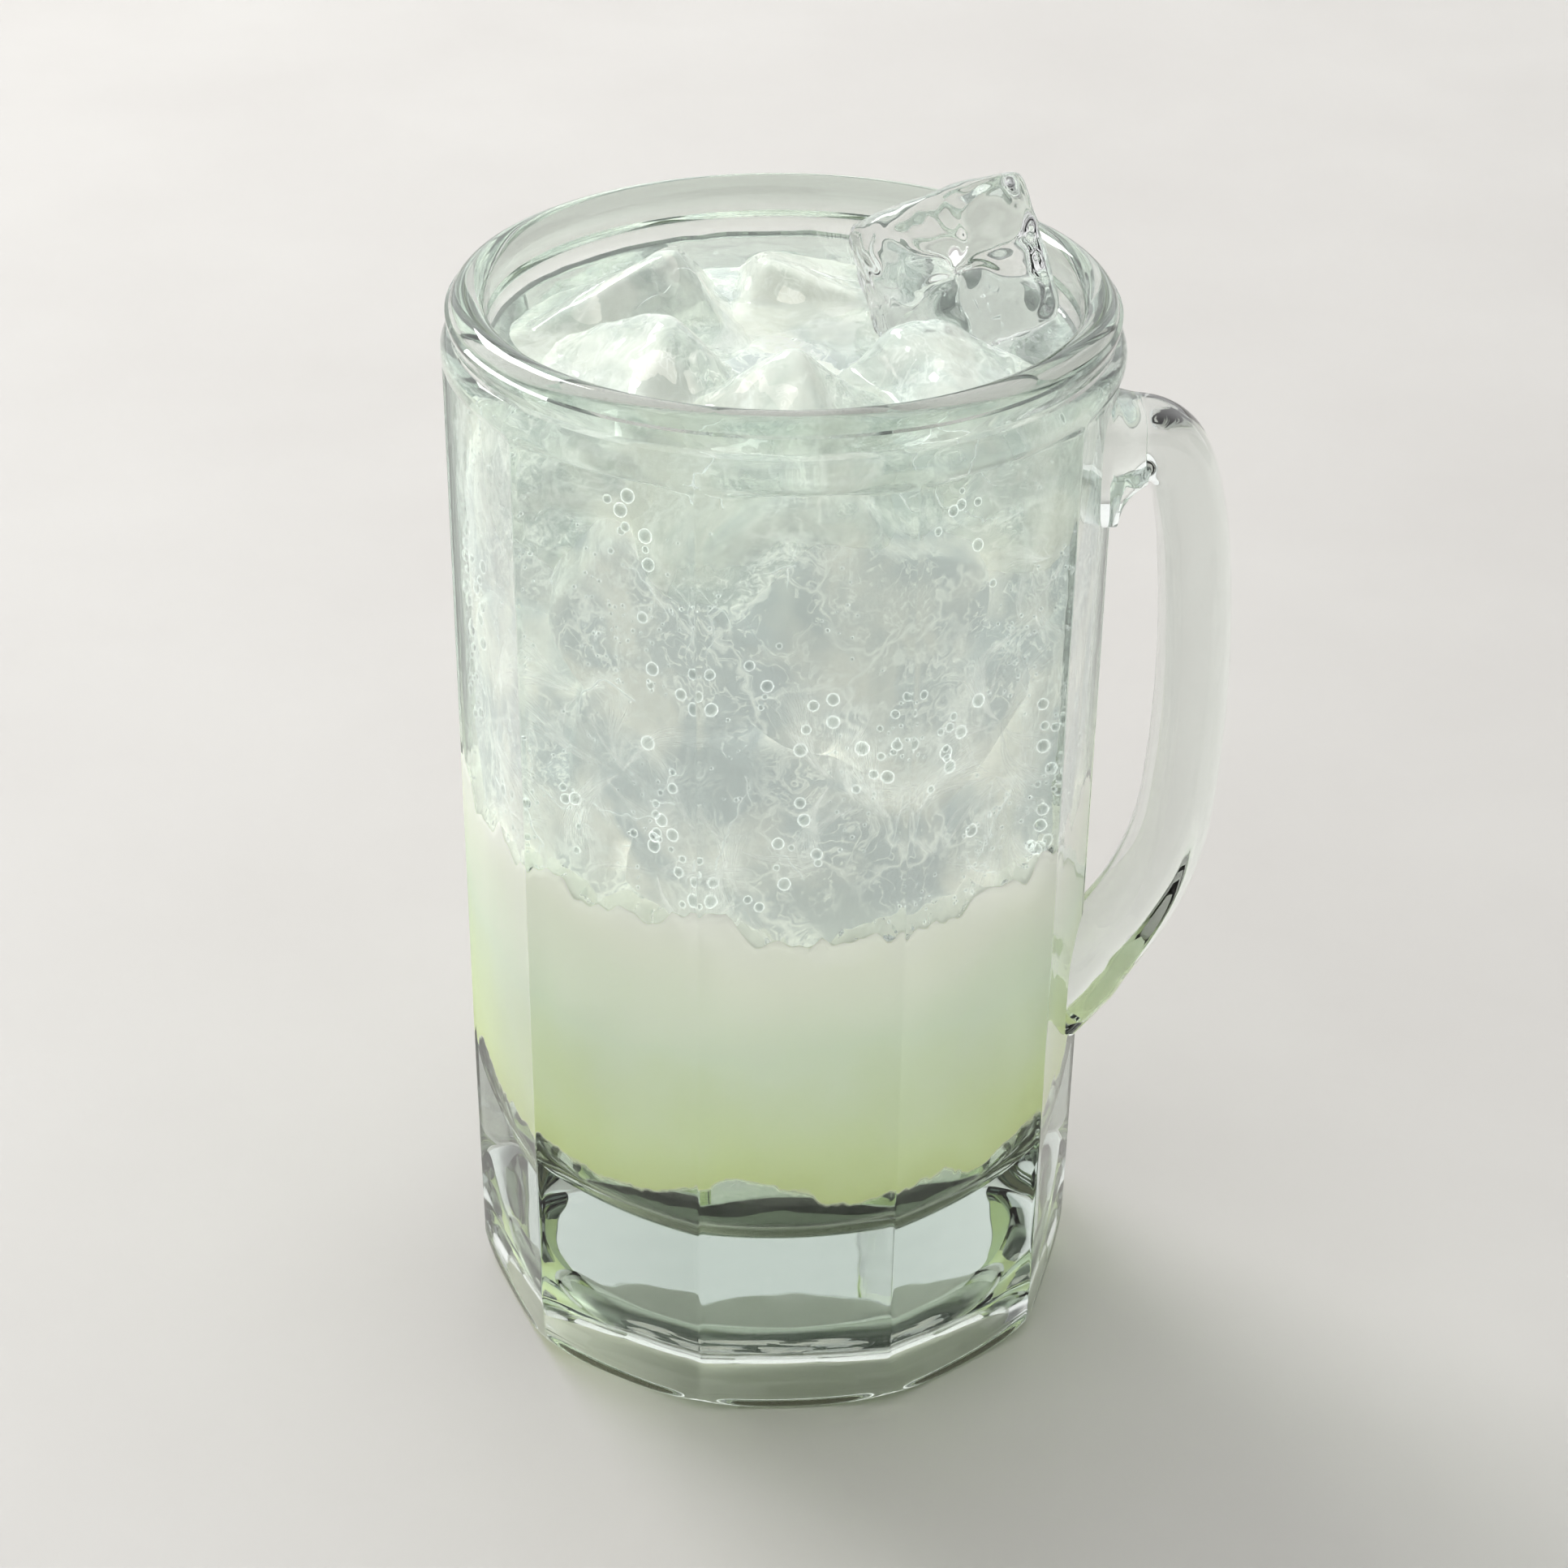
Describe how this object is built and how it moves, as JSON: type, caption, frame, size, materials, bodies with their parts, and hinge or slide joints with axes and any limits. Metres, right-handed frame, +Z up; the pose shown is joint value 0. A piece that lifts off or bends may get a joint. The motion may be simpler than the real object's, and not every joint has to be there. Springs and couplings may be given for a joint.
{
  "type": "glass mug of iced lemonade",
  "caption": "Panelled glass mug with a solid handle, filled with a two-layer pale green iced lemonade, a block of clear ice standing above the rim.",
  "frame": {"origin": "on the mug's axis, in the plane of the foot that it stands on", "axes": "+Z up along the mug's axis, +X towards the handle"},
  "size_m": [0.1056, 0.089, 0.1629],
  "materials": {
    "mug_glass": "clear pressed glass, fire polished",
    "green_lemonade": "cloudy pale green syrup layer",
    "pale_lemonade": "clear sparkling drink with a cold grey-green tint",
    "ice": "clear wet ice"
  },
  "bodies": {
    "root": {"mug": "mug_glass", "lemonade_green": "green_lemonade", "lemonade_pale": "pale_lemonade", "ice_top": "ice", "ice_left_back": "ice", "ice_left_front": "ice", "ice_front": "ice", "ice_right": "ice", "ice_back": "ice"}
  },
  "joints": []
}
